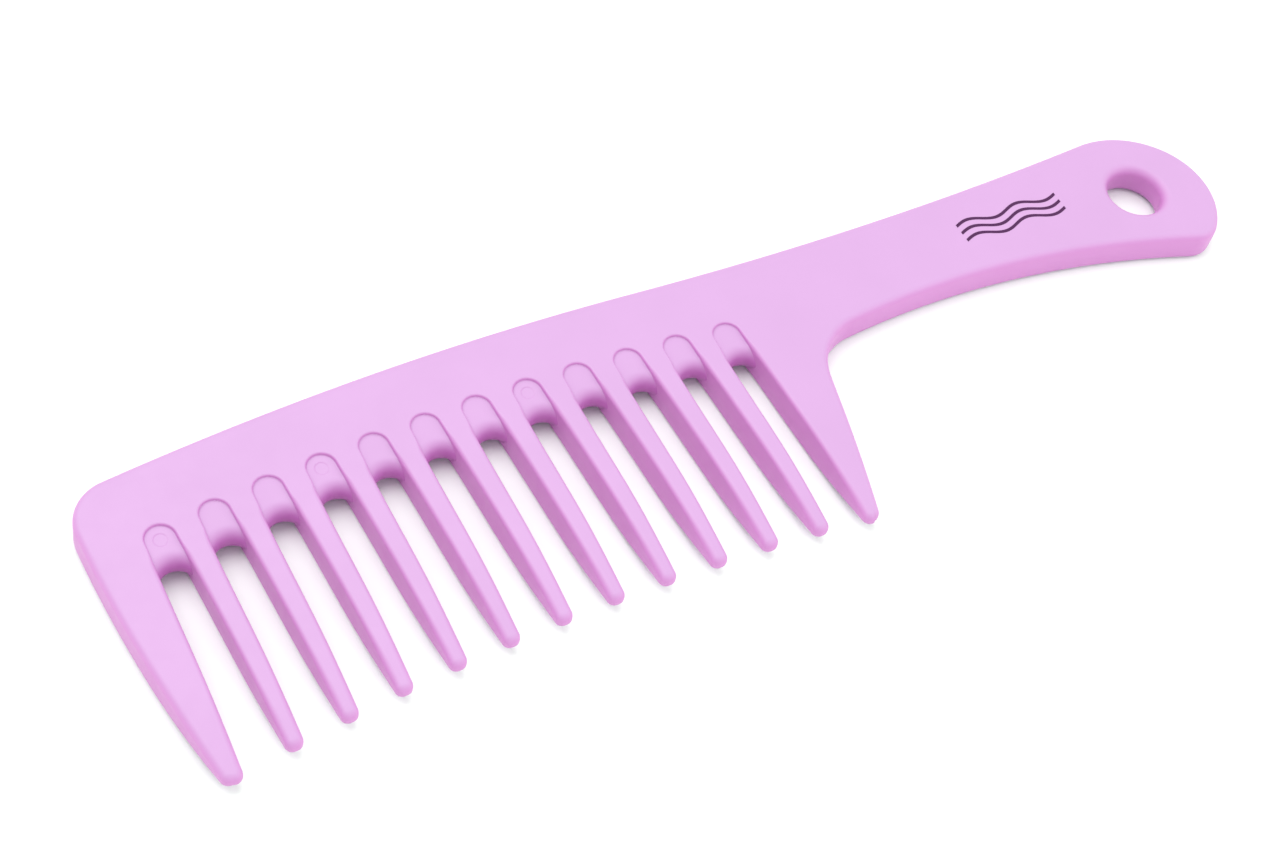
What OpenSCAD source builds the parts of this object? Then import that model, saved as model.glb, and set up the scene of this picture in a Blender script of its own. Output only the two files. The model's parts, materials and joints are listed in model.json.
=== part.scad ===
// Wide tooth comb with a handle, moulded in one piece of plastic.
//
// Frame: the origin is on the axis of the hang hole, midway between the two
// faces. +X runs from the teeth towards the rounded end of the handle, the
// teeth point along -Y, the back of the comb faces +Y and the comb lies on
// its -Z face. Millimetres.
//
// The two faces are alike: each gap between teeth runs up into a shallow
// pocket on both faces, and a thinner web with a rounded edge closes it. All
// the plastic is one moulding, cut here into named lengths that meet face to
// face.

/* [Teeth] */

// Distance from one gap to the next
tooth_pitch = 9; // [8:0.1:10]
// Length of the middle tooth, from the web to its tip
tooth_length = 35.2; // [28:0.2:40]
// Width of a tooth where it leaves the spine
tooth_root_w = 3.9; // [3.4:0.1:4.4]
// Width of a tooth just before its rounded tip
tooth_tip_w = 2.7; // [2.2:0.1:3.2]
// Thickness of a tooth just before its rounded tip
tooth_tip_t = 2.6; // [2:0.1:4]
// Length of the last stretch, where a tooth gets thinner
taper_length = 17; // [10:0.5:24]

/* [Body] */

// Thickness of the spine, the handle and the roots of the teeth
thickness = 6; // [5:0.1:7]
// Depth of the spine at its middle, from the webs to the back
spine_depth = 16.9; // [14:0.1:20]
// Distance from the hang hole to the nearest gap
handle_reach = 87.2; // [82:0.2:95]
// Radius of the rounded long edges
edge_r = 1.1; // [0.6:0.1:1.4]
// Diameter of the hang hole
hang_hole_d = 10; // [8:0.1:11.4]

/* [Pockets and webs] */

// Distance from a web edge up to the top of its pocket
pocket_length = 6.5; // [5:0.1:8]
// Thickness of a web at its rounded edge
web_t = 4.4; // [3:0.1:4.8]
// Depth of a pocket at its top end
pocket_depth = 0.5; // [0.3:0.05:0.8]

/* [Hidden] */

plastic = [0.93, 0.72, 0.95];
ink = [0.30, 0.14, 0.28];

// Smoothness: segments of a full circle for small rounds, and points along
// each arc of the plan outline
round_fn = 64;
arc_steps = 12;
pocket_steps = 8;
edge_steps = 3;
nose_steps = 6;
// Extra length of a cutting tool beyond the face it cuts
over = 1;

// Rows: the gaps are numbered 0 to last_gap from the head end, and tooth k
// stands between gap k - 1 and gap k
last_gap = 11;
row_mid_x = -handle_reach - last_gap * tooth_pitch / 2;
// The rows of webs and tips bow evenly about this x, a little towards the
// handle from the middle of the row
bow_shift = 0.69;
bow_x = row_mid_x + bow_shift * tooth_pitch;
row_bow_r = 425;
web_y = -2.6;
tip_y = web_y - tooth_length;
gap_half = (tooth_pitch - tooth_root_w) / 2;
// The spine reaches this far below the round end of each gap, so that it
// holds the whole round
stub_margin = 0.5;
stub_length = gap_half + stub_margin;
// The edge of a web is an arch a little wider than its gap
arch_margin = 0.1;
arch_r = gap_half + arch_margin;

// Back of the comb: one long bow that runs tangent into a hollow neck
back_r = 515;
back_c = [bow_x, web_y + spine_depth - back_r];
neck_r = 710;
neck_x = -52;
neck_c = [neck_x,
          back_c.y + sqrt(pow(back_r + neck_r, 2)
                          - pow(neck_x - bow_x, 2))];
neck_start_x = back_c.x + back_r * cos(heading(back_c, neck_c));

// Rounded end of the handle: a wide round that tightens towards the corner
end_top_r = 16.8;
end_top_x = -2;
end_top_c = [end_top_x,
             neck_c.y - sqrt(pow(neck_r + end_top_r, 2)
                             - pow(end_top_x - neck_x, 2))];
end_r = 14.4;
end_turn = 38.7;
end_c = end_top_c + (end_top_r - end_r) * [cos(end_turn), sin(end_turn)];

// Hollow underside of the handle and the round where it meets the last tooth
under_r = 163;
under_x = -47.7;
under_y = -5;
under_c = [under_x, under_y - under_r];
armpit_r = 11.4;
armpit_reach = 23.2;
armpit_x = armpit_reach - handle_reach;
armpit_c = [armpit_x,
            under_c.y + sqrt(pow(under_r - armpit_r, 2)
                             - pow(armpit_x - under_c.x, 2))];
// The spine ends, and the handle begins, where those two curves meet
split_x = armpit_x + armpit_r * cos(heading(under_c, armpit_c));
end_corner_r = 5;
end_corner_c = circles_meet(end_c, end_r - end_corner_r,
                            under_c, under_r + end_corner_r, 1);

// Head end: the outer side of the first guard tooth is a long soft curve
head_side_r = 240;
head_side_y = 1;
head_reach = 10.85;
head_side_c = [gap_x(0) - head_reach + head_side_r, head_side_y];
head_corner_r = 7.6;
head_corner_c = circles_meet(head_side_c, head_side_r - head_corner_r,
                             back_c, back_r - head_corner_r, -1);

// Guard teeth: how far they reach past the row of tips, and how their inner
// sides lean
guard_extra = 0.6;
head_guard_lean = 0.038;
handle_guard_lean = 0.012;
// Slope of the outer side of the guard tooth beside the handle
handle_guard_turn = 14;
// Lengths that a guard tooth is lofted in
guard_steps = 10;

// Rounding of the tips, of the long edges of the teeth and of the rims of
// the hang hole
tip_round = 1.2;
tooth_edge_r = 0.6;
rim_r = 1.7;

// Printed mark: three wavy strands of ink
mark_centre = [-26, 3.2];
mark_size = [21.5, 5.4];
mark_t = 0.04;
mark_strands = 3;
mark_line_w = 0.6;
mark_wave_h = 0.7;
mark_waves = 2;
mark_steps = 36;

// ---- Small helpers ----

// A list without its first entry, without its last one, and back to front
function tail(list) = [for (i = [1 : len(list) - 1]) list[i]];
function trim(list) = [for (i = [0 : len(list) - 2]) list[i]];
function reverse(list) = [for (i = [len(list) - 1 : -1 : 0]) list[i]];

// Angle of the direction from a to b
function heading(a, b) = atan2(b.y - a.y, b.x - a.x);

// Where a circle about a and a circle about b cross, on the left (side = 1)
// or on the right (side = -1) of the line from a to b
function circles_meet(a, ra, b, rb, side) =
    let (d = norm(b - a),
         along = (d * d + ra * ra - rb * rb) / (2 * d),
         aside = sqrt(ra * ra - along * along),
         u = (b - a) / d)
    a + along * u + side * aside * [-u.y, u.x];

// Points of an arc, each with the outward normal of the plastic and the
// radius of its rounded edges: [x, y, nx, ny, edge]. side is 1 where the
// plastic lies inside the circle, -1 outside it
function arc(c, r, from, to, side = 1, steps = arc_steps, edge = edge_r) =
    [for (i = [0 : steps])
        let (a = from + (to - from) * i / steps, n = [cos(a), sin(a)])
        [c.x + r * n.x, c.y + r * n.y, side * n.x, side * n.y, edge]];

// The same point, with its normal laid along a flat joint face
function on_x_face(p) = [p[0], p[1], 0, 1 / p[3], p[4]];
function on_y_face(p) = [p[0], p[1], 1 / p[2], 0, p[4]];

// x of gap i, and the bowed rows at any x
function gap_x(i) = -handle_reach - (last_gap - i) * tooth_pitch;
function bow(x) = pow(x - bow_x, 2) / (2 * row_bow_r);
function web_edge_y(x) = web_y - bow(x);
function root_y(k) = web_edge_y(gap_x(k) - tooth_pitch / 2) - stub_length;
// Height of a circle above its centre at x
function rise(c, r, x) = sqrt(r * r - pow(x - c.x, 2));

// One ring of a tooth: a rounded rectangle across y = const, with a short
// flat left on each side
function tooth_ring(x0, x1, y, half_t, r) =
    let (flat = 0.05,
         q = min(r, (x1 - x0) / 2 - flat, half_t - flat),
         corners = [[x1 - q, half_t - q, 90], [x1 - q, q - half_t, 0],
                    [x0 + q, q - half_t, -90], [x0 + q, half_t - q, -180]])
    [for (c = corners, i = [0 : edge_steps - 1])
        let (a = c[2] - 90 * i / (edge_steps - 1))
        [c.x + q * cos(a), y, c.y + q * sin(a)]];

// Half the thickness of a tooth at a distance from its tip
function half_t_at(d) =
    (tooth_tip_t + (thickness - tooth_tip_t)
     * min(1, max(0, d - tip_round) / (taper_length - tip_round))) / 2;

// ---- Shells made from rings of points ----

// Skin over rings that all have the same number of points and that run
// clockwise when seen from beyond the last ring. The end faces are cut into
// fans: each is a list of ring positions, all in sight of its first one
module loft(rings, fans) {
    n = len(rings[0]);
    last = len(rings) - 1;
    ends = is_undef(fans) ? [[for (i = [0 : n - 1]) i]] : fans;
    points = [for (ring = rings, p = ring) p];
    sides = [for (j = [0 : last - 1], i = [0 : n - 1])
        let (k = (i + 1) % n)
        [j * n + i, j * n + k, (j + 1) * n + k, (j + 1) * n + i]];
    start_caps = [for (fan = ends) turned(fan)];
    end_caps = [for (fan = ends) [for (i = fan) last * n + i]];
    polyhedron(points, concat(start_caps, sides, end_caps), convexity = 6);
}

// The same fan, seen from behind
function turned(fan) = concat([fan[0]], reverse(tail(fan)));

// Plate with its long edges rounded. The path runs clockwise when seen from
// above
module rounded_plate(path, fans) {
    loft([for (i = [0 : 2 * edge_steps + 1])
        let (upper = i > edge_steps,
             a = 90 * (upper ? i - edge_steps - 1 : edge_steps - i)
                 / edge_steps,
             inset = 1 - cos(a),
             drop = 1 - sin(a))
        [for (p = path)
            let (z = thickness / 2 - p[4] * drop)
            [p[0] - p[2] * p[4] * inset, p[1] - p[3] * p[4] * inset,
             upper ? z : -z]]], fans);
}

// ---- Spine ----

// Point of the back over x, on the long bow or on the hollow neck
function back_at(x) =
    let (side = x > neck_start_x ? -1 : 1,
         c = side > 0 ? back_c : neck_c,
         r = side > 0 ? back_r : neck_r,
         y = c.y + side * rise(c, r, x))
    [x, y, side * (x - c.x) / r, side * (y - c.y) / r, edge_r];

module spine_plate() {
    head_y = root_y(0.5);
    armpit_y = root_y(last_gap + 0.5);
    // The back has a point over every gap and over every tooth
    back = [for (k = [2 * last_gap + 1 : -1 : 0])
        back_at(gap_x(0) + k * tooth_pitch / 2)];
    corner = arc(head_corner_c, head_corner_r,
                 heading(back_c, head_corner_c),
                 heading(head_side_c, head_corner_c));
    side = arc(head_side_c, head_side_r,
               heading(head_side_c, head_corner_c),
               180 + asin((head_side_c.y - head_y) / head_side_r), 1, 3);
    head = concat(corner, trim(tail(side)), [on_y_face(side[len(side) - 1])]);
    gaps = [for (i = [0 : last_gap])
        gap_path(i, i == 0 ? head_y : root_y(i),
                 i == last_gap ? armpit_y : root_y(i + 1))];
    armpit = arc(armpit_c, armpit_r,
                 180 - asin((armpit_y - armpit_c.y) / armpit_r),
                 heading(under_c, armpit_c), -1, 6);
    path = concat([on_x_face(back_at(split_x))], back, head, [each each gaps],
                  [on_y_face(armpit[0])], trim(tail(armpit)),
                  [on_x_face(armpit[len(armpit) - 1])]);
    // Places in the path, counted from the joint with the handle: over gap
    // i, at the head corner, at the round top of gap i and at the last tooth
    n = len(path);
    over_gap = [for (i = [0 : last_gap]) 2 * (last_gap - i) + 2];
    at_corner = len(back) + 1;
    top = [for (i = [0 : last_gap])
        at_corner + len(head) + i * len(gaps[0]) + 1 + pocket_steps / 2];
    at_armpit = n - len(armpit);
    fans = concat(
        [[0, 1, each [at_armpit : n - 1]],
         [1, 2, each [top[last_gap] : at_armpit]],
         [at_corner, each [at_corner + 1 : top[0]], over_gap[0]]],
        [for (i = [0 : last_gap - 1])
            [over_gap[i] - 1, over_gap[i], each [top[i] : top[i + 1]],
             over_gap[i + 1]]]);
    rounded_plate(reverse(path),
                  [for (fan = fans) [for (i = turned(fan)) n - 1 - i]]);
}

// The wall of a gap and its pocket: up the left side, over the round top and
// down the right side. It starts and ends at the flat joint faces of the
// teeth beside it
function gap_path(i, left_y, right_y) =
    let (x = gap_x(i))
    concat([[x - gap_half, left_y, 1, 0, tooth_edge_r]],
           arc([x, round_y(i)], gap_half, 180, 0, -1, pocket_steps,
               tooth_edge_r),
           [[x + gap_half, right_y, -1, 0, tooth_edge_r]]);

// Height of the centre of the round top of a pocket
function round_y(i) = web_edge_y(gap_x(i)) + pocket_length - gap_half;

module spine() {
    color(plastic) spine_plate();
}

// The web that closes a gap: a bar with a fully rounded edge that arches
// over the gap. Its faces are the floors of the pockets, and rise gently
// towards the round top
module web(i) {
    x = gap_x(i);
    arch_y = web_edge_y(x) - arch_r;
    nose_r = web_t / 2;
    rise = (thickness / 2 - pocket_depth - nose_r)
           / (pocket_length - nose_r);
    nose = [for (j = [0 : nose_steps])
        let (a = 180 * j / nose_steps - 90)
        nose_r * [1 - cos(a), sin(a)]];
    loft([for (j = [pocket_steps : -1 : 0])
        let (a = 180 * j / pocket_steps,
             dx = gap_half * cos(a),
             front = arch_y + sqrt(arch_r * arch_r - dx * dx),
             back = round_y(i) + gap_half * sin(a),
             floor_z = nose_r + rise * (back - front - nose_r))
        concat([[x + dx, back, -floor_z]],
               [for (p = nose) [x + dx, front + p.x, p.y]],
               [[x + dx, back, floor_z]])]);
}

module webs() {
    color(plastic)
        for (i = [0 : last_gap]) web(i);
}

// ---- Handle ----

module handle_plate() {
    corner_turn = heading(end_c, end_corner_c);
    under_start = heading(under_c, end_corner_c);
    top_end_x = end_top_c.x + end_top_r * cos(heading(end_top_c, neck_c));
    top = [for (i = [0 : arc_steps])
        back_at(split_x + (top_end_x - split_x) * i / arc_steps)];
    end_top = arc(end_top_c, end_top_r,
                  heading(end_top_c, neck_c), end_turn);
    end_side = arc(end_c, end_r, end_turn, corner_turn);
    corner = arc(end_corner_c, end_corner_r, corner_turn,
                 under_start - 180, 1, 8);
    under = arc(under_c, under_r, under_start,
                heading(under_c, armpit_c), -1);
    path = concat([on_x_face(top[0])], tail(top), tail(end_top),
                  tail(end_side), tail(corner), trim(tail(under)),
                  [on_x_face(under[arc_steps])]);
    // The long faces are cut across into strips, up to the rounded end
    n = len(path);
    strips = [for (i = [0 : arc_steps - 1])
        [i, i + 1, n - 2 - i, n - 1 - i]];
    end_face = [for (i = [arc_steps : n - 1 - arc_steps]) i];
    rounded_plate(path, concat(strips, [end_face]));
}

// Hang hole with rounded rims on both faces
module hang_hole() {
    r = hang_hole_d / 2;
    half_t = thickness / 2;
    rim = [for (i = [0 : edge_steps])
        let (a = 90 * i / edge_steps)
        [r + rim_r * (1 - cos(a)), half_t - rim_r * (1 - sin(a))]];
    cylinder(r = r, h = thickness + 2 * over, center = true,
             $fn = 2 * round_fn);
    for (flip = [0, 1])
        mirror([0, 0, flip])
            rotate_extrude($fn = 2 * round_fn)
                polygon(concat([[r - over, half_t - rim_r]], rim,
                               [[r + rim_r, half_t + over],
                                [r - over, half_t + over]]));
}

module handle() {
    color(plastic)
        difference() {
            handle_plate();
            hang_hole();
        }
}

// ---- Teeth ----

// Stations of the rounded tip, from its start on: distance from the tip and
// how much of the width and thickness is lost there
function tip_rounding() =
    let (steps = 4)
    [for (i = [0 : steps - 1])
        let (a = 90 * i / steps)
        [tip_round * (1 - sin(a)), tip_round * (1 - cos(a))]];

module tooth(k) {
    x = gap_x(k) - tooth_pitch / 2;
    end_y = tip_y - bow(x);
    y0 = root_y(k);
    root_half = tooth_pitch / 2 - gap_half;
    plain = [for (y = [y0, end_y + taper_length])
        let (half_w = root_half + (tooth_tip_w / 2 - root_half)
                      * (y0 - y) / (y0 - end_y))
        tooth_ring(x - half_w, x + half_w, y, half_t_at(y - end_y),
                   tooth_edge_r)];
    tip = [for (s = tip_rounding())
        let (half_w = tooth_tip_w / 2 - s[1], y = end_y + s[0])
        tooth_ring(x - half_w, x + half_w, y,
                   half_t_at(s[0]) - s[1], tooth_edge_r)];
    color(plastic) loft(concat(plain, tip));
}

// Outer side of the head end guard tooth and of the one beside the handle
function head_side_x(y) =
    head_side_c.x - sqrt(pow(head_side_r, 2) - pow(y - head_side_c.y, 2));
function handle_side_x(y) =
    let (touch = armpit_c - armpit_r * [cos(handle_guard_turn),
                                        -sin(handle_guard_turn)])
    y > touch.y
        ? armpit_c.x - sqrt(pow(armpit_r, 2) - pow(y - armpit_c.y, 2))
        : touch.x - (touch.y - y) * tan(handle_guard_turn);

// A guard tooth between two side curves, given as lists of x at each y
module guard_tooth(sides, end_y) {
    last = len(sides) - 1;
    body = [for (s = sides)
        tooth_ring(s[1], s[2], s[0], half_t_at(s[0] - end_y), edge_r)];
    tip = [for (s = tail(tip_rounding()))
        tooth_ring(sides[last][1] + s[1], sides[last][2] - s[1],
                   end_y + s[0], half_t_at(s[0]) - s[1], edge_r)];
    color(plastic) loft(concat(body, tip));
}

module head_end_guard_tooth() {
    y0 = root_y(0.5);
    inner = gap_x(0) - gap_half;
    end_y = tip_y - bow(inner) - guard_extra;
    y1 = end_y + tip_round;
    guard_tooth([for (i = [0 : guard_steps])
        let (y = y0 + (y1 - y0) * i / guard_steps)
        [y, head_side_x(y), inner - (y0 - y) * head_guard_lean]], end_y);
}

module handle_end_guard_tooth() {
    y0 = root_y(last_gap + 0.5);
    inner = gap_x(last_gap) + gap_half;
    end_y = tip_y - bow(inner) - guard_extra;
    y1 = end_y + tip_round;
    guard_tooth([for (i = [0 : guard_steps])
        let (y = y0 + (y1 - y0) * i / guard_steps)
        [y, inner + (y0 - y) * handle_guard_lean, handle_side_x(y)]], end_y);
}

// ---- Printed mark ----

// Three wavy strands of ink on the upper face of the handle
module printed_mark() {
    spacing = (mark_size.y - 2 * mark_wave_h - mark_line_w)
              / (mark_strands - 1);
    upper = [for (i = [0 : mark_steps])
        mark_point(i / mark_steps, mark_line_w / 2)];
    lower = [for (i = [mark_steps : -1 : 0])
        mark_point(i / mark_steps, -mark_line_w / 2)];
    color(ink)
        translate([mark_centre.x, mark_centre.y, thickness / 2])
            for (s = [0 : mark_strands - 1])
                translate([0, (s - (mark_strands - 1) / 2) * spacing, 0])
                    linear_extrude(mark_t)
                        polygon(concat(upper, lower));
}

// Edge of a strand at a fraction t of its length
function mark_point(t, aside) =
    [(t - 0.5) * mark_size.x,
     mark_wave_h * sin(360 * mark_waves * t) + aside];

// ---- Nodes ----

spine();
webs();
handle();
head_end_guard_tooth();
handle_end_guard_tooth();
tooth(1);  // tooth_01
tooth(2);  // tooth_02
tooth(3);  // tooth_03
tooth(4);  // tooth_04
tooth(5);  // tooth_05
tooth(6);  // tooth_06
tooth(7);  // tooth_07
tooth(8);  // tooth_08
tooth(9);  // tooth_09
tooth(10);  // tooth_10
tooth(11);  // tooth_11
printed_mark();
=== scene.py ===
"""A wide tooth comb of satin lilac plastic, lying on a white table.

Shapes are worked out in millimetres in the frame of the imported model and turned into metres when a
mesh is made. The origin is the centre of the hang hole, +X runs to the rounded end of the handle,
the teeth point along -Y and the comb lies on its -Z face.
"""

import json
from collections import namedtuple
from math import asin, atan2, ceil, copysign, cos, hypot, pi, radians, sin, sqrt, tan

import bpy
import numpy as np
from mathutils import Matrix, Vector
from mathutils.geometry import delaunay_2d_cdt


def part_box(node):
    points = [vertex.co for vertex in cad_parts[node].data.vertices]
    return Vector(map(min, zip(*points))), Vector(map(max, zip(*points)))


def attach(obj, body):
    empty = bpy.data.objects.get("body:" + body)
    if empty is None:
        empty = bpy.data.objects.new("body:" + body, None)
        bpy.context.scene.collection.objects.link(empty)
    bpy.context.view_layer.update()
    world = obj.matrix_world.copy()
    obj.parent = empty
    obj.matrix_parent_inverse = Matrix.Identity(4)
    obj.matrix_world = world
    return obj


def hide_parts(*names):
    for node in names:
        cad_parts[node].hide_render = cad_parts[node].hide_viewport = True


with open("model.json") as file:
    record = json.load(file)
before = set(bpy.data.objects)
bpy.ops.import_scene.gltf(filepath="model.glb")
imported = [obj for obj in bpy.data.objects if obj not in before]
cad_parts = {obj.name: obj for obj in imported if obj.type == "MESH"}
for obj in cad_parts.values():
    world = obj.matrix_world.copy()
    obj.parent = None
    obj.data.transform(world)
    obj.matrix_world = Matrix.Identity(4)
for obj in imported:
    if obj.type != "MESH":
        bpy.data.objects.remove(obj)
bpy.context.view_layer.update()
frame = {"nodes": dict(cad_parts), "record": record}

MM = 0.001

# ---- Sizes taken from the frame, in millimetres ----


def node_box(name):
    """Lowest and highest corner of a CAD node."""
    low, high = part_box(name)
    return low / MM, high / MM


def middle_x(name):
    """x of the middle of a CAD node."""
    low, high = node_box(name)
    return (low.x + high.x) / 2


TEETH = 11
LAST_GAP = TEETH
SPINE_LOW, SPINE_HIGH = node_box("spine")
HANDLE_LOW, HANDLE_HIGH = node_box("handle")
HALF_T = SPINE_HIGH.z
FIRST_TOOTH_X = middle_x("tooth_01")
PITCH = (middle_x("tooth_11") - FIRST_TOOTH_X) / (TEETH - 1)
HOLE_R = frame["record"]["mounts"][0]["dims"]["r_mm"]

# ---- Sizes of the rows ----

# The rows of webs and tips bow evenly about this x, a little towards the handle from the middle tooth
BOW_X = FIRST_TOOTH_X + 5.69 * PITCH
BOW_R = 425
# Edge of a web on the axis of the bow, and the length of a pocket above it
WEB_Y = -2.6
POCKET_LENGTH = 6.5
# Half the width of a gap below its web, and at the round top of its pocket
GAP_HALF = 2.62
POCKET_HALF = 2.4

# ---- Edges and rounds ----

# Long edges of the body and of the teeth, edges of the pockets, ends of the tips, rims of the hole
EDGE_R = 1.15
TOOTH_EDGE_R = 0.8
POCKET_EDGE_R = 0.35
TIP_EDGE_R = 1.1
RIM_R = 1.7
# A rounded edge takes at most this share of half the thickness
EDGE_SHARE = 0.96
# The edges of a pocket soften from this far above the edge of its web, over this length
POCKET_END = 2.5
POCKET_FADE = 3
# The edges of a tooth grow to those of its tip over this length
TIP_FADE = 14
# Webs: the round of the edge, the depth of the pocket at its top, and the curl of its floor at the
# walls, which grows over the last part of the round. The floor rises evenly towards the top
NOSE_R = 2.2
POCKET_DEPTH = 0.5
POCKET_CURL_R = 0.18
CURL_START = 0.6
FLOOR_RISE = (HALF_T - POCKET_DEPTH - NOSE_R) / (POCKET_LENGTH - NOSE_R)
FLOOR_TILT = atan2(FLOOR_RISE, 1)
# The edge of a web is an arch a little wider than its gap, and its ends and top reach into the spine
ARCH_R = GAP_HALF + 0.12
WEB_HALF = GAP_HALF + 0.08
WEB_LENGTH = POCKET_LENGTH + 0.3
# Ejector pins left a shallow round witness in these pockets
WITNESS_GAPS = (0, 3, 7)
WITNESS_R = 1.15
WITNESS_DEPTH = 0.09
WITNESS_WALL = 0.15
# Tips of the teeth: half the width of an inner one, and the corners in plan of inner and guard teeth
TIP_HALF = 1.36
TIP_R = 1.2
GUARD_TIP_R = 1.35
# The faces of a tooth draw together from this far below its web, by this much over this length
THIN_START = 14.4
THIN_DEPTH = 5.3
THIN_LENGTH = 36
# How far the inner sides of the guard teeth lean for each millimetre down
HEAD_GUARD_LEAN = 0.038
HANDLE_GUARD_LEAN = 0.012
# The walls lean this much from the parting line to the faces
DRAFT = radians(1.5)
# Longest step along an outline, in general and where it is tighter. Segments of a rounded edge, of a
# long wall of a gap and of the round of a web
STEP = 0.55
FINE_STEP = 0.25
TIP_STEP = 0.12
RIM_STEP = 0.35
ROUND_STEPS = 6
SLOT_STEPS = 24
NOSE_STEPS = 12
# Spacing of the points inside a face, and of the cut faces where pieces meet
FACE_STEP = 1.6
JOINT_STEP = 1.5

# ---- Plan of the comb ----

Edge = namedtuple("Edge", "x y nx ny r")


def bow(x):
    """How far the rows have dropped at x."""
    return (x - BOW_X) ** 2 / (2 * BOW_R)


def gap_x(i):
    """Middle of gap i, counted from 0 at the head end."""
    return FIRST_TOOTH_X + (i - 0.5) * PITCH


def web_y(i):
    """Middle of the edge of web i."""
    return WEB_Y - bow(gap_x(i))


def pocket_top(i):
    """Height of the centre of the round top of a pocket."""
    return web_y(i) + POCKET_LENGTH - POCKET_HALF


def gap_side(i, y, side):
    """x of the wall of gap i at y, on its right (1) or its left (-1)."""
    low = web_y(i) - GAP_HALF
    top_y = pocket_top(i)
    return gap_x(i) + side * (POCKET_HALF + (GAP_HALF - POCKET_HALF) * (top_y - y) / (top_y - low))


def smooth(t):
    """Eases from 0 to 1 as t goes from 0 to 1, and stays level outside that."""
    t = min(1, max(0, t))
    return t * t * (3 - 2 * t)


def heading(a, b):
    """Angle of the way from a to b."""
    return atan2(b[1] - a[1], b[0] - a[0])


def arc(centre, radius, start, end, side=1, edge=EDGE_R, step=STEP):
    """Outline along an arc. side is 1 where the plastic is inside the circle and -1 outside it."""
    count = max(4, ceil(radius * abs(end - start) / step))
    points = []
    for k in range(count + 1):
        a = start + (end - start) * k / count
        c, s = cos(a), sin(a)
        points.append(Edge(centre[0] + radius * c, centre[1] + radius * s, side * c, side * s, edge))
    return points


def circles_meet(a, ra, b, rb, side):
    """Where two circles cross, on the left (1) or on the right (-1) of the way from a to b."""
    d = hypot(b[0] - a[0], b[1] - a[1])
    along = (d * d + ra * ra - rb * rb) / (2 * d)
    aside = side * sqrt(ra * ra - along * along)
    ux, uy = (b[0] - a[0]) / d, (b[1] - a[1]) / d
    return a[0] + along * ux - aside * uy, a[1] + along * uy + aside * ux


def above(centre, radius, x):
    """How far a circle rises over its centre at x."""
    return sqrt(radius * radius - (x - centre[0]) ** 2)


# Back: one long bow that runs into a hollow neck
BACK_R = 515
BACK_C = (BOW_X, SPINE_HIGH.y - BACK_R)
NECK_R = 710
NECK_X = -52
NECK_C = (NECK_X, BACK_C[1] + sqrt((BACK_R + NECK_R) ** 2 - (NECK_X - BOW_X) ** 2))

# Rounded end of the handle
END_TOP_R = 16.8
END_R = 14.4
END_TURN = radians(38.7)
END_TOP_X = HANDLE_HIGH.x - END_R - (END_TOP_R - END_R) * cos(END_TURN)
END_TOP_C = (END_TOP_X, NECK_C[1] - sqrt((NECK_R + END_TOP_R) ** 2 - (END_TOP_X - NECK_X) ** 2))
END_C = (
    END_TOP_C[0] + (END_TOP_R - END_R) * cos(END_TURN),
    END_TOP_C[1] + (END_TOP_R - END_R) * sin(END_TURN),
)

# Hollow underside of the handle, the round between it and the last tooth, and its corner at the end
UNDER_R = 163
UNDER_X = -47.7
UNDER_Y = -5
UNDER_C = (UNDER_X, UNDER_Y - UNDER_R)
ARMPIT_R = 11.4
ARMPIT_X = -64
ARMPIT_C = (ARMPIT_X, UNDER_C[1] + sqrt((UNDER_R - ARMPIT_R) ** 2 - (ARMPIT_X - UNDER_X) ** 2))
SPLIT_X = HANDLE_LOW.x
CORNER_R = 5
CORNER_C = circles_meet(END_C, END_R - CORNER_R, UNDER_C, UNDER_R + CORNER_R, 1)

# Head end
HEAD_R = 240
HEAD_Y = 1
HEAD_C = (SPINE_LOW.x + HEAD_R, HEAD_Y)
HEAD_CORNER_R = 7.6
HEAD_CORNER_C = circles_meet(HEAD_C, HEAD_R - HEAD_CORNER_R, BACK_C, BACK_R - HEAD_CORNER_R, -1)

# The outer side of the guard tooth beside the handle leans at this angle
GUARD_TURN = radians(14)
GUARD_TOUCH = (ARMPIT_C[0] - ARMPIT_R * cos(GUARD_TURN), ARMPIT_C[1] + ARMPIT_R * sin(GUARD_TURN))


def neck_arc(x0, x1):
    """Outline along the hollow neck, from x0 to x1."""
    start, end = ((x, NECK_C[1] - above(NECK_C, NECK_R, x)) for x in (x0, x1))
    return arc(NECK_C, NECK_R, heading(NECK_C, start), heading(NECK_C, end), -1)


# ---- Meshes with exact normals ----


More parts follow.
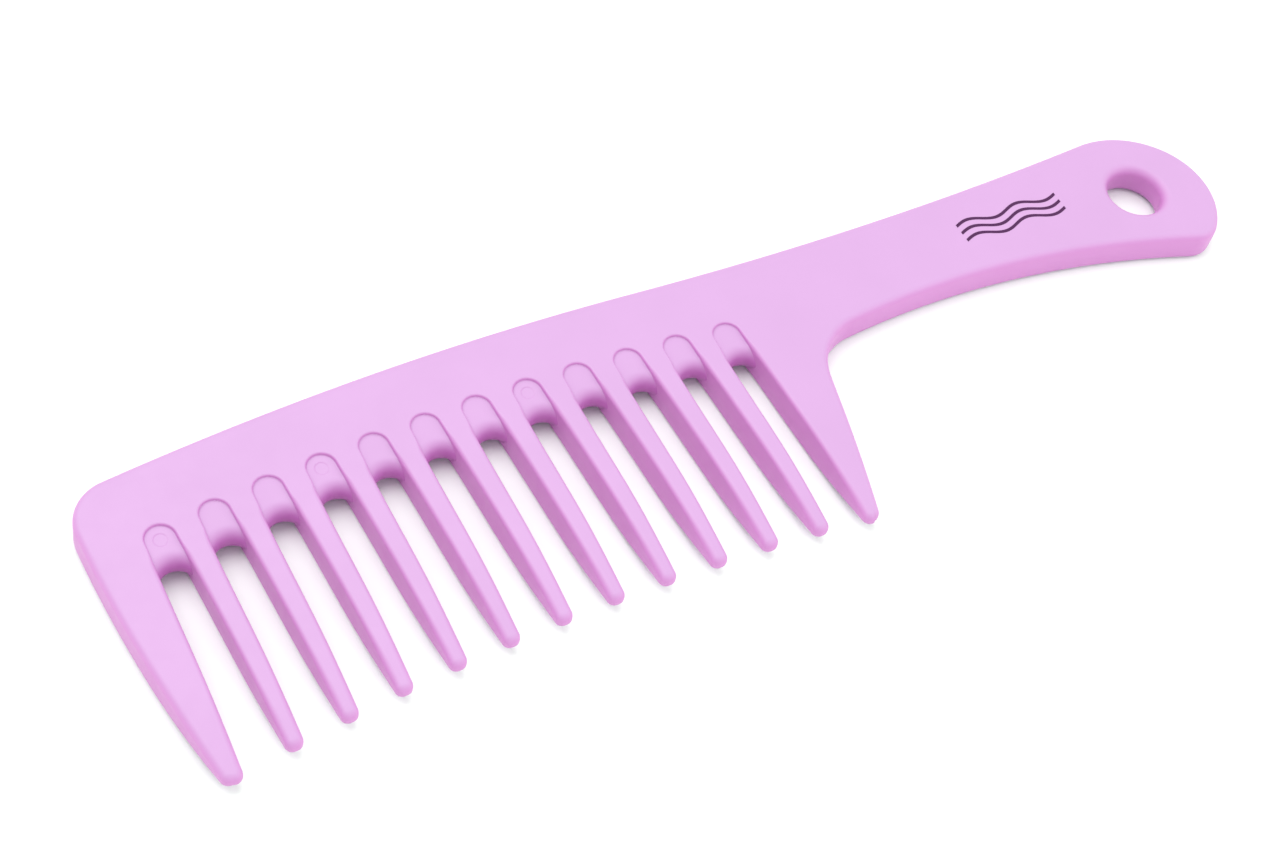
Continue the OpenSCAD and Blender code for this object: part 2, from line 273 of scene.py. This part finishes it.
class Skin:
    """Vertices, normals and faces of one piece."""

    def __init__(self):
        self.points = []
        self.normals = []
        self.faces = []

    def vertex(self, point, normal):
        """Adds a vertex and returns its number."""
        self.points.append(Vector(point))
        self.normals.append(Vector(normal).normalized())
        return len(self.points) - 1

    def grid(self, rows):
        """Quads between neighbouring rows of vertices."""
        for low, high in zip(rows, rows[1:]):
            self.faces.extend(zip(low, low[1:], high[1:], high))

    def cap(self, ring, normal):
        """A flat face over vertices that are already there."""
        self.faces.append([self.vertex(self.points[i], normal) for i in ring])

    def outward(self, face):
        """The face, turned so that its corners run anticlockwise seen from outside."""
        corners = [self.points[i] for i in face]
        middle = sum(corners, Vector()) / len(corners)
        spin = Vector()
        for a, b in zip(corners, corners[1:] + corners[:1]):
            spin += (a - middle).cross(b - middle)
        lean = sum((self.normals[i] for i in face), Vector())
        return list(face) if spin.dot(lean) >= 0 else list(face)[::-1]

    def build(self, name, material, node):
        """Makes the Blender object and hides that CAD node in its place."""
        mesh = bpy.data.meshes.new(name)
        mesh.from_pydata([p * MM for p in self.points], [], [self.outward(f) for f in self.faces])
        mesh.materials.append(material)
        mesh.shade_smooth()
        mesh.normals_split_custom_set_from_vertices(self.normals)
        piece = bpy.data.objects.new(name, mesh)
        bpy.context.scene.collection.objects.link(piece)
        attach(piece, "root")
        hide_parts(node)


def flat_face(x, y):
    """Half the thickness of the spine and the handle."""
    return HALF_T


def slope(height, x, y, reach=0.05):
    """How steeply the face rises along x and along y."""
    return (
        (height(x + reach, y) - height(x - reach, y)) / (2 * reach),
        (height(x, y + reach) - height(x, y - reach)) / (2 * reach),
    )


def edge_columns(skin, edge, height, at_joint=False):
    """The upper and the lower wall at one point of an outline. The upper one runs from the face down
    to the parting line and the lower one on to the lower face. At a joint both stay in its plane."""
    out_x, out_y = edge.nx, edge.ny
    if at_joint and abs(edge.nx) > abs(edge.ny):
        out_x, out_y = copysign(1, edge.nx), 0
    elif at_joint:
        out_x, out_y = 0, copysign(1, edge.ny)
    upper = []
    lower = []
    r = min(edge.r, EDGE_SHARE * height(edge.x, edge.y))
    for k in range(ROUND_STEPS + 1):
        a = pi / 2 * (1 - k / ROUND_STEPS)
        x = edge.x - out_x * r * (1 - cos(a))
        y = edge.y - out_y * r * (1 - cos(a))
        z = height(x, y) - r * (1 - sin(a))
        hx, hy = slope(height, x, y)
        wall = cos(max(a, DRAFT))
        face = sin(max(a, DRAFT))
        nx, ny = edge.nx * wall - hx * face, edge.ny * wall - hy * face
        upper.append(skin.vertex((x, y, z), (nx, ny, face)))
        lower.append(skin.vertex((x, y, -z), (nx, ny, -face)))
    for column, side in ((upper, 1), (lower, -1)):
        normal = (edge.nx * cos(DRAFT), edge.ny * cos(DRAFT), side * sin(DRAFT))
        column.append(skin.vertex((edge.x, edge.y, 0), normal))
    return upper, lower[::-1]


def face_pair(skin, x, y, height):
    """Vertices of the upper and the lower face at one place."""
    hx, hy = slope(height, x, y)
    z = height(x, y)
    return skin.vertex((x, y, z), (-hx, -hy, 1)), skin.vertex((x, y, -z), (-hx, -hy, -1))


def joint(skin, before, after, height):
    """The flat face between the end of one outline and the start of the next. Returns the pairs of
    vertices, upper and lower, along its two long sides."""
    a, b = skin.points[before[0][0]], skin.points[after[0][0]]
    count = max(1, round((b - a).length / JOINT_STEP))
    pairs = []
    for k in range(1, count):
        x, y = a.x + (b.x - a.x) * k / count, a.y + (b.y - a.y) * k / count
        pairs.append(face_pair(skin, x, y, height))
    ring = before[0] + before[1][1:]
    ring += [bottom for _, bottom in pairs]
    ring += (after[0] + after[1][1:])[::-1]
    ring += [top for top, _ in pairs[::-1]]
    skin.cap(ring, (a.y - b.y, b.x - a.x, 0))
    return pairs


def is_inside(points, loops):
    """Which points lie inside the loops, by counting the edges to the right of each."""
    crossings = np.zeros(len(points), int)
    for loop in loops:
        ax, ay = loop[:, 0], loop[:, 1]
        bx, by = np.roll(ax, -1), np.roll(ay, -1)
        x, y = points[:, :1], points[:, 1:]
        spans = (ay > y) != (by > y)
        rise = np.where(by == ay, 1, by - ay)
        crossings += (spans & (x < ax + (bx - ax) * (y - ay) / rise)).sum(axis=1)
    return crossings % 2 == 1


def inner_points(loops):
    """Points in staggered rows, inside the loops and clear of them."""
    edge = np.vstack(loops)
    low, high = edge.min(axis=0), edge.max(axis=0)
    row_step = FACE_STEP * 0.87
    clearance = 0.6 * FACE_STEP
    rows = np.arange(low[1], high[1], row_step)
    points = []
    for k, y in enumerate(rows):
        points += [(x, y) for x in np.arange(low[0] + FACE_STEP / 2 * (k % 2), high[0], FACE_STEP)]
    points = np.array(points)
    points = points[is_inside(points, loops)]
    clear = [np.hypot(*(edge - p).T).min() > clearance for p in points]
    return points[np.array(clear, bool)] if len(points) else points


def faces(skin, loops, height):
    """The upper and the lower face inside loops of vertex pairs."""
    outlines = [np.array([skin.points[top].xy for top, _ in loop]) for loop in loops]
    pairs = [pair for loop in loops for pair in loop]
    borders = []
    start = 0
    for loop in loops:
        borders += [(start + k, start + (k + 1) % len(loop)) for k in range(len(loop))]
        start += len(loop)
    pairs += [face_pair(skin, x, y, height) for x, y in inner_points(outlines)]
    plan = [skin.points[top].xy for top, _ in pairs]
    places, _, triangles, sources, _, _ = delaunay_2d_cdt(plan, borders, [], 0, 1e-6)
    middles = np.array([np.mean([places[i] for i in t], axis=0) for t in triangles])
    for triangle, kept in zip(triangles, is_inside(middles, outlines)):
        if kept:
            corners = [pairs[sources[i][0]] for i in triangle]
            skin.faces.append([top for top, _ in corners])
            skin.faces.append([bottom for _, bottom in corners])


def plate(skin, outlines, height=flat_face, holes=()):
    """A plate with rounded edges. Flat joints close it where one outline ends and the next begins."""
    columns = [
        [edge_columns(skin, edge, height, edge in (outline[0], outline[-1])) for edge in outline]
        for outline in outlines
    ]
    outer = []
    for strip, following in zip(columns, columns[1:] + columns[:1]):
        skin.grid([upper for upper, _ in strip])
        skin.grid([lower for _, lower in strip])
        outer += [(upper[0], lower[-1]) for upper, lower in strip]
        outer += joint(skin, strip[-1], following[0], height)
    loops = [outer]
    for hole in holes:
        strip = [edge_columns(skin, edge, height) for edge in hole[:-1]]
        skin.grid([upper for upper, _ in strip + strip[:1]])
        skin.grid([lower for _, lower in strip + strip[:1]])
        loops.append([(upper[0], lower[-1]) for upper, lower in strip])
    faces(skin, loops, height)


# ---- The pieces ----


def slot_outline(i, left_y, right_y):
    """Wall of a gap and its pocket, up the left side, round the top and down the right side."""
    low = web_y(i) - GAP_HALF
    top_y = pocket_top(i)
    lean = atan2(GAP_HALF - POCKET_HALF, top_y - low)

    def edge_r(y):
        """The edge is crisp round the pocket and softens below the web."""
        fade = smooth((web_y(i) + POCKET_END - y) / POCKET_FADE)
        return POCKET_EDGE_R + (TOOTH_EDGE_R - POCKET_EDGE_R) * fade

    def wall(end_y, side):
        """One wall from its lower end up."""
        rows = [end_y + (top_y - end_y) * k / SLOT_STEPS for k in range(SLOT_STEPS + 1)]
        return [Edge(gap_side(i, y, side), y, -side * cos(lean), -sin(lean), edge_r(y)) for y in rows]

    over = arc((gap_x(i), top_y), POCKET_HALF, pi, 0, -1, POCKET_EDGE_R, FINE_STEP)
    return wall(left_y, -1) + over[1:-1] + wall(right_y, 1)[::-1]


def spine_outlines():
    """Outlines of the spine, clockwise from the neck."""
    tangent = heading(BACK_C, NECK_C)
    neck_x = BACK_C[0] + BACK_R * cos(tangent)
    head_y = node_box("head_end_guard_tooth")[1].y
    guard_y = node_box("handle_end_guard_tooth")[1].y
    root_y = [node_box(f"tooth_{k:02d}")[1].y for k in range(1, TEETH + 1)]
    armpit_end = pi - asin((guard_y - ARMPIT_C[1]) / ARMPIT_R)
    armpit = arc(ARMPIT_C, ARMPIT_R, heading(UNDER_C, ARMPIT_C), armpit_end, -1)
    slots = []
    for i in range(LAST_GAP, -1, -1):
        right_y = guard_y if i == LAST_GAP else root_y[i]
        left_y = head_y if i == 0 else root_y[i - 1]
        slots.append(slot_outline(i, left_y, right_y)[::-1])
    side_start = pi + asin((HEAD_Y - head_y) / HEAD_R)
    corner_start = heading(HEAD_C, HEAD_CORNER_C)
    corner_end = heading(BACK_C, HEAD_CORNER_C)
    side = arc(HEAD_C, HEAD_R, side_start, corner_start % (2 * pi))
    corner = arc(HEAD_CORNER_C, HEAD_CORNER_R, corner_start, corner_end)
    back = arc(BACK_C, BACK_R, corner_end, tangent)
    neck = neck_arc(neck_x, SPLIT_X)
    return [armpit, *slots, side + corner[1:] + back[1:] + neck[1:]]


def handle_outline():
    """Outline of the handle, clockwise from the neck."""
    top_start = heading(END_TOP_C, NECK_C)
    top = neck_arc(SPLIT_X, END_TOP_C[0] + END_TOP_R * cos(top_start))
    end_top = arc(END_TOP_C, END_TOP_R, top_start, END_TURN)
    corner_turn = heading(END_C, CORNER_C)
    end_side = arc(END_C, END_R, END_TURN, corner_turn)
    under_start = heading(UNDER_C, CORNER_C)
    corner = arc(CORNER_C, CORNER_R, corner_turn, under_start - pi, 1, EDGE_R, FINE_STEP)
    under = arc(UNDER_C, UNDER_R, under_start, heading(UNDER_C, ARMPIT_C), -1)
    return top + end_top[1:] + end_side[1:] + corner[1:] + under[1:]


def web_profile(floor_steps):
    """Upper half of a web in section, from the middle of its edge up over the floor of the pocket: the
    distance from the edge, the height, and how much of the curl at the walls there is."""
    for k in range(NOSE_STEPS + 1):
        turn = k / NOSE_STEPS
        a = (pi / 2 - FLOOR_TILT) * turn
        yield NOSE_R * (1 - cos(a)), NOSE_R * sin(a), max(0, (turn - CURL_START) / (1 - CURL_START))
    flat = NOSE_R * (1 - sin(FLOOR_TILT))
    for k in range(1, floor_steps + 1):
        d = flat + (WEB_LENGTH - flat) * k / floor_steps
        yield d, NOSE_R * cos(FLOOR_TILT) + (d - flat) * FLOOR_RISE, 1


def pocket_lift(i, dx, y):
    """How far the floor of pocket i curls up at the walls, less the depth of its witness."""
    top_y = pocket_top(i)
    if y > top_y:
        clear = POCKET_HALF - hypot(dx, y - top_y)
    else:
        clear = POCKET_HALF - abs(dx) + (GAP_HALF - POCKET_HALF) * (top_y - y) / (top_y - web_y(i))
    bite = min(1, max(0, 1 - clear / POCKET_CURL_R))
    lift = POCKET_CURL_R * (1 - sqrt(1 - bite * bite))
    if i in WITNESS_GAPS:
        inside = (WITNESS_R - hypot(dx, y - top_y)) / WITNESS_WALL
        lift -= WITNESS_DEPTH * min(1, max(0, inside))
    return lift


def web(skin, i):
    """The web that closes gap i: a bar with a fully rounded edge that arches over the gap. Its faces
    are the floors of the pockets, which rise towards the round top and curl up at the walls."""
    x = gap_x(i)
    centre_y = web_y(i) - ARCH_R
    # A witness needs a finer floor
    floor_steps, columns = (56, 64) if i in WITNESS_GAPS else (24, 36)
    aside = [WEB_HALF * sin(pi / 2 * (2 * k / columns - 1)) for k in range(columns + 1)]
    rows = []
    for d, z, curl in web_profile(floor_steps):
        row = []
        for dx in aside:
            y = centre_y + sqrt((ARCH_R + d) ** 2 - dx * dx)
            row.append((x + dx, y, z + curl * pocket_lift(i, dx, y)))
        rows.append(row)
    points = np.array(rows)
    normals = np.cross(np.gradient(points, axis=1), np.gradient(points, axis=0))
    normals[0] = [(x - p[0], centre_y - p[1], 0) for p in points[0]]
    for side in (1, -1):
        flip = np.array((1, 1, side))
        skin.grid(
            [
                [skin.vertex(p * flip, n * flip) for p, n in zip(row, row_normals)]
                for row, row_normals in zip(points, normals)
            ]
        )
    # Flat back and ends, inside the spine
    back = [skin.vertex(p * (1, 1, side), (0, 1, 0)) for side in (1, -1) for p in points[-1][::side]]
    skin.faces.append(back)
    for column, out in ((0, -1), (-1, 1)):
        ring = [skin.vertex(p, (out, 0, 0)) for p in points[::-1, column]]
        ring += [skin.vertex(p * (1, 1, -1), (out, 0, 0)) for p in points[1:, column]]
        skin.faces.append(ring)


def side_edges(side_x, out, y0, y1, edge):
    """Outline down one long side of a tooth, from y0 to y1. side_x gives x at each y."""
    count = max(4, ceil(abs(y1 - y0) / STEP))
    reach = 0.01
    points = []
    for k in range(count + 1):
        y = y0 + (y1 - y0) * k / count
        lean = (side_x(y + reach) - side_x(y - reach)) / (2 * reach)
        size = hypot(1, lean)
        points.append(Edge(side_x(y), y, out / size, -out * lean / size, edge))
    return points


def tip_corner(edge, tip_r, start, end):
    """Outline round a corner of a tip, which touches the side of the tooth at that edge."""
    centre = (edge.x - edge.nx * tip_r, edge.y - edge.ny * tip_r)
    return arc(centre, tip_r, start, end, 1, TIP_EDGE_R, TIP_STEP)


def blend_edges(side):
    """The same outline, with its edge radius growing smoothly towards its last point."""
    points = []
    for edge in side:
        near = smooth(1 - abs(edge.y - side[-1].y) / TIP_FADE)
        points.append(edge._replace(r=edge.r + (TIP_EDGE_R - edge.r) * near))
    return points


def tooth(name, left_x, right_x, edges, tip_r, web_edge_y):
    """A tooth between two side curves, with a rounded tip. Its faces draw together towards the tip."""
    low, high = node_box(name)

    def height(x, y):
        thin = max(0, web_edge_y - THIN_START - y) / THIN_LENGTH
        return HALF_T - THIN_DEPTH * thin * thin

    corner_y = low.y + tip_r
    right = side_edges(right_x, 1, high.y, corner_y, edges[1])
    left = side_edges(left_x, -1, corner_y, high.y, edges[0])
    right_end, left_end = right[-1], left[0]
    right_corner = tip_corner(right_end, tip_r, atan2(right_end.ny, right_end.nx), -pi / 2)
    left_turn = atan2(left_end.ny, left_end.nx) % (2 * pi) - 2 * pi
    left_corner = tip_corner(left_end, tip_r, -pi / 2, left_turn)
    outline = blend_edges(right) + right_corner[1:] + left_corner[:-1] + blend_edges(left[::-1])[::-1]
    skin = Skin()
    plate(skin, [outline], height)
    skin.build(name, PLASTIC, name)


def straight_side(root_x, root_y, lean):
    """x at each y of a side that starts at the root and leans by so much for each millimetre down."""
    return lambda y: root_x + (root_y - y) * lean


def inner_teeth():
    """The eleven teeth between the guard teeth. They taper evenly from the gaps beside them."""
    for k in range(1, TEETH + 1):
        name = f"tooth_{k:02d}"
        low, high = node_box(name)
        x = middle_x(name)
        length = high.y - low.y
        left_root = gap_side(k - 1, high.y, 1)
        right_root = gap_side(k, high.y, -1)
        left_x = straight_side(left_root, high.y, (x - TIP_HALF - left_root) / length)
        right_x = straight_side(right_root, high.y, (x + TIP_HALF - right_root) / length)
        tooth(name, left_x, right_x, (TOOTH_EDGE_R, TOOTH_EDGE_R), TIP_R, WEB_Y - bow(x))


def head_guard_side(y):
    """x of the long soft curve of the head end."""
    return HEAD_C[0] - sqrt(HEAD_R**2 - (y - HEAD_Y) ** 2)


def handle_guard_side(y):
    """x of the side towards the handle: the round of the armpit, then a straight lean."""
    if y > GUARD_TOUCH[1]:
        return ARMPIT_C[0] - sqrt(ARMPIT_R**2 - (y - ARMPIT_C[1]) ** 2)
    return GUARD_TOUCH[0] - (GUARD_TOUCH[1] - y) * tan(GUARD_TURN)


def guard_teeth():
    """The broader teeth at both ends. Their outer sides follow the outline of the comb."""
    name = "head_end_guard_tooth"
    root_y = node_box(name)[1].y
    inner = straight_side(gap_side(0, root_y, -1), root_y, -HEAD_GUARD_LEAN)
    tooth(name, head_guard_side, inner, (EDGE_R, TOOTH_EDGE_R), GUARD_TIP_R, web_y(0))

    name = "handle_end_guard_tooth"
    root_y = node_box(name)[1].y
    inner = straight_side(gap_side(LAST_GAP, root_y, 1), root_y, HANDLE_GUARD_LEAN)
    tooth(name, inner, handle_guard_side, (TOOTH_EDGE_R, EDGE_R), GUARD_TIP_R, web_y(LAST_GAP))


def spine_piece():
    """The back with the walls of the gaps and pockets."""
    skin = Skin()
    plate(skin, spine_outlines())
    skin.build("spine", PLASTIC, "spine")


def webs_piece():
    """All twelve webs."""
    skin = Skin()
    for i in range(LAST_GAP + 1):
        web(skin, i)
    # The webs' material paints a still darker shade on their rounded edges
    skin.build("webs", SHADED_WEB_PLASTIC, "webs")


def handle_piece():
    """The handle with its hang hole."""
    skin = Skin()
    rim = arc((0, 0), HOLE_R, 2 * pi, 0, -1, RIM_R, RIM_STEP)
    plate(skin, [handle_outline()], flat_face, [rim])
    skin.build("handle", PLASTIC, "handle")


# ---- Materials ----

FACE_COLOUR = (0.520, 0.300, 0.548)
# Painted shade: walls get a darker, deeper pink colour than the faces, standing in for the shade on them
# and light bounced between neighbouring walls
SHADED_WALL_COLOUR = (0.590, 0.228, 0.558)
# Painted shade: the rounded edges of the webs get a still darker colour, standing in for the deep shade
# under and between the teeth
SHADED_WEB_COLOUR = (0.500, 0.145, 0.470)
INK_COLOUR = (0.062, 0.010, 0.066)
TABLE_COLOUR = (0.90, 0.985, 0.91)


def shade(colour, factor):
    """The colour, that much lighter or darker."""
    return tuple(part * factor for part in colour)


def material(name, colour, roughness):
    """A material with its shader and a coordinate node in the frame's metres."""
    mat = bpy.data.materials.new(name)
    mat.use_nodes = True
    nodes = mat.node_tree.nodes
    shader = nodes["Principled BSDF"]
    shader.inputs["Base Color"].default_value = (*colour, 1)
    shader.inputs["Roughness"].default_value = roughness
    place = nodes.new("ShaderNodeTexCoord")
    return mat, shader, place.outputs["Object"]


def noise(mat, place, size, detail=2):
    """Noise whose features are about size millimetres across."""
    node = mat.node_tree.nodes.new("ShaderNodeTexNoise")
    node.inputs["Scale"].default_value = 1 / (size * MM)
    node.inputs["Detail"].default_value = detail
    mat.node_tree.links.new(place, node.inputs["Vector"])
    return node.outputs["Fac"]


def spread(mat, value, low, high):
    """The middle of a noise's range, stretched from low to high."""
    node = mat.node_tree.nodes.new("ShaderNodeMapRange")
    node.inputs["From Min"].default_value = 0.3
    node.inputs["From Max"].default_value = 0.7
    node.inputs["To Min"].default_value = low
    node.inputs["To Max"].default_value = high
    mat.node_tree.links.new(value, node.inputs["Value"])
    return node.outputs["Result"]


def bump(mat, height, distance, normal=None):
    """Bump of that many millimetres, on top of the bump in normal."""
    node = mat.node_tree.nodes.new("ShaderNodeBump")
    node.inputs["Distance"].default_value = distance * MM
    node.inputs["Strength"].default_value = 1
    mat.node_tree.links.new(height, node.inputs["Height"])
    if normal:
        mat.node_tree.links.new(normal, node.inputs["Normal"])
    return node.outputs["Normal"]


def mix(mat, factor, a, b):
    """Colour a where the factor is 0 and colour b where it is 1."""
    node = mat.node_tree.nodes.new("ShaderNodeMix")
    node.data_type = "RGBA"
    links = mat.node_tree.links
    links.new(factor, node.inputs["Factor"])
    for value, socket in ((a, node.inputs[6]), (b, node.inputs[7])):
        if isinstance(value, tuple):
            socket.default_value = (*value, 1)
        else:
            links.new(value, socket)
    return node.outputs[2]


def levelness(mat):
    """1 on the flat faces, 0 on the walls, from the piece's own normals. It places the painted shade on
    the walls.
    """
    place = mat.node_tree.nodes.new("ShaderNodeTexCoord")
    split = mat.node_tree.nodes.new("ShaderNodeSeparateXYZ")
    square = mat.node_tree.nodes.new("ShaderNodeMath")
    square.operation = "MULTIPLY"
    links = mat.node_tree.links
    links.new(place.outputs["Normal"], split.inputs["Vector"])
    for socket in square.inputs[:2]:
        links.new(split.outputs["Z"], socket)
    return square.outputs["Value"]


def plastic(name, shaded_wall_colour):
    """Lilac plastic with a fine satin grain. Its walls carry painted shade: they are coloured darker and
    deeper pink than its level faces.
    """
    mat, shader, place = material(name, FACE_COLOUR, 0.45)
    links = mat.node_tree.links
    clouds = spread(mat, noise(mat, place, size=14), 0, 1)
    face = mix(mat, clouds, shade(FACE_COLOUR, 0.985), shade(FACE_COLOUR, 1.015))
    # Painted shade: the colour turns to the shaded wall colour wherever the surface stops being level
    links.new(mix(mat, levelness(mat), shaded_wall_colour, face), shader.inputs["Base Color"])
    sheen = noise(mat, place, size=2.5)
    links.new(spread(mat, sheen, 0.40, 0.50), shader.inputs["Roughness"])
    # Faint waviness of the moulding under the fine grain
    waves = bump(mat, noise(mat, place, size=9, detail=1), distance=0.02)
    grain = bump(mat, noise(mat, place, size=0.22), distance=0.0025, normal=waves)
    links.new(grain, shader.inputs["Normal"])
    return mat


def ink():
    """Matt dark plum ink with a slightly uneven sheen."""
    mat, shader, place = material("mark_ink", INK_COLOUR, 0.5)
    shader.inputs["Specular IOR Level"].default_value = 0.25
    sheen = spread(mat, noise(mat, place, size=0.5), 0.42, 0.6)
    mat.node_tree.links.new(sheen, shader.inputs["Roughness"])
    return mat


# ---- The stage ----


def table():
    """White table that the comb lies on."""
    mesh = bpy.data.meshes.new("table")
    reach = 3
    z = -HALF_T * MM
    corners = [(-reach, -reach, z), (reach, -reach, z), (reach, reach, z), (-reach, reach, z)]
    mesh.from_pydata(corners, [], [(0, 1, 2, 3)])
    mat, _, _ = material("table", TABLE_COLOUR, 0.7)
    mesh.materials.append(mat)
    floor = bpy.data.objects.new("table", mesh)
    bpy.context.scene.collection.objects.link(floor)


def light(name, elevation, azimuth, power, size=1.9, distance=1.5):
    """A wide soft round lamp that faces the middle of the comb. Angles in degrees, lengths in metres."""
    lamp = bpy.data.lights.new(name, "AREA")
    lamp.shape = "DISK"
    lamp.size = size
    lamp.energy = power
    el, az = radians(elevation), radians(azimuth)
    away = distance * Vector((cos(az) * cos(el), sin(az) * cos(el), sin(el)))
    holder = bpy.data.objects.new(name, lamp)
    holder.location = Vector((SPINE_HIGH.x + HANDLE_LOW.x, 0, 0)) / 2 * MM + away
    holder.rotation_euler = (-away).to_track_quat("-Z", "Y").to_euler()
    bpy.context.scene.collection.objects.link(holder)


def lighting():
    """A light tent: even white from all round, a key lamp above the back and a weaker one across."""
    world = bpy.data.worlds.new("tent")
    world.use_nodes = True
    background = world.node_tree.nodes["Background"]
    background.inputs["Color"].default_value = (1, 1, 1, 1)
    background.inputs["Strength"].default_value = 0.9
    bpy.context.scene.world = world
    light("key", elevation=64, azimuth=118, power=18)
    light("fill", elevation=34, azimuth=320, power=8.5)


def camera():
    """Camera in front of the head end, looking down across the comb, turned about its own axis. Its
    height is counted from the table."""
    height = 294.294
    place = Vector((-258.977, -180.764, height - HALF_T)) * MM
    azimuth, elevation, roll = -0.72158, 0.90616, 0.26456
    back = Vector((sin(azimuth) * cos(elevation), -cos(azimuth) * cos(elevation), sin(elevation)))
    level = Vector((cos(azimuth), sin(azimuth), 0))
    upright = back.cross(level)
    right = cos(roll) * level + sin(roll) * upright
    up = -sin(roll) * level + cos(roll) * upright
    lens = bpy.data.cameras.new("camera")
    lens.sensor_width = 36
    lens.lens = 65.25
    lens.clip_start = 0.01
    lens.clip_end = 10
    holder = bpy.data.objects.new("camera", lens)
    holder.matrix_world = Matrix.Translation(place) @ Matrix((right, up, back)).transposed().to_4x4()
    bpy.context.scene.collection.objects.link(holder)
    bpy.context.scene.camera = holder


PLASTIC = plastic("lilac_plastic", SHADED_WALL_COLOUR)
SHADED_WEB_PLASTIC = plastic("lilac_plastic_webs_shaded", SHADED_WEB_COLOUR)
spine_piece()
webs_piece()
handle_piece()
inner_teeth()
guard_teeth()

# The mark keeps its CAD shape
mark = frame["nodes"]["printed_mark"]
mark.data.materials.clear()
mark.data.materials.append(ink())

table()
lighting()
camera()
bpy.context.scene.view_settings.view_transform = "Standard"
